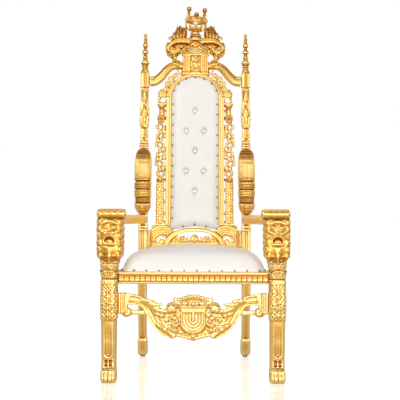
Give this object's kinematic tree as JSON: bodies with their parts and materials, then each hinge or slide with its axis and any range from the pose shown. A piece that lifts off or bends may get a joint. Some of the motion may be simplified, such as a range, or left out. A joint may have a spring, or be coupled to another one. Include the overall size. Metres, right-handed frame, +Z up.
{
  "type": "throne",
  "caption": "High-backed carved and gilded throne with lion-head arms, paw feet, a crowned crest, a pierced front apron and a white buttoned back and padded seat.",
  "frame": {"origin": "on the floor, under the middle of the throne's whole width and depth", "axes": "+Z up; -Y the way the sitter faces; +X the sitter's left"},
  "size_m": [0.836, 0.8382, 1.8158],
  "materials": {
    "gold": "carved wood, gilded and lacquered to a bright polish, browner in the recesses",
    "leather": "white leather-look cover over foam, soft sheen",
    "crystal": "clear faceted button",
    "nylon": "brown nail-on glide"
  },
  "bodies": {
    "root": {"back_post_left": "gold", "back_post_right": "gold", "post_scroll_left": "gold", "post_scroll_right": "gold", "back_side_panel_left": "gold", "back_side_panel_right": "gold", "back_arch": "gold", "back_lower_rail": "gold", "crest": "gold", "crown": "gold", "front_rail": "gold", "side_rail_left": "gold", "side_rail_right": "gold", "back_rail": "gold", "front_leg_left": "gold", "front_leg_right": "gold", "lion_head_left": "gold", "lion_head_right": "gold", "arm_left": "gold", "arm_right": "gold", "front_apron": "gold", "back_pad": "leather", "seat_cushion": "leather", "back_button_1": "crystal", "back_button_2": "crystal", "back_button_3": "crystal", "back_button_4": "crystal", "back_button_5": "crystal", "back_button_6": "crystal", "back_button_7": "crystal", "rear_glide_left": "nylon", "rear_glide_right": "nylon"}
  },
  "joints": []
}
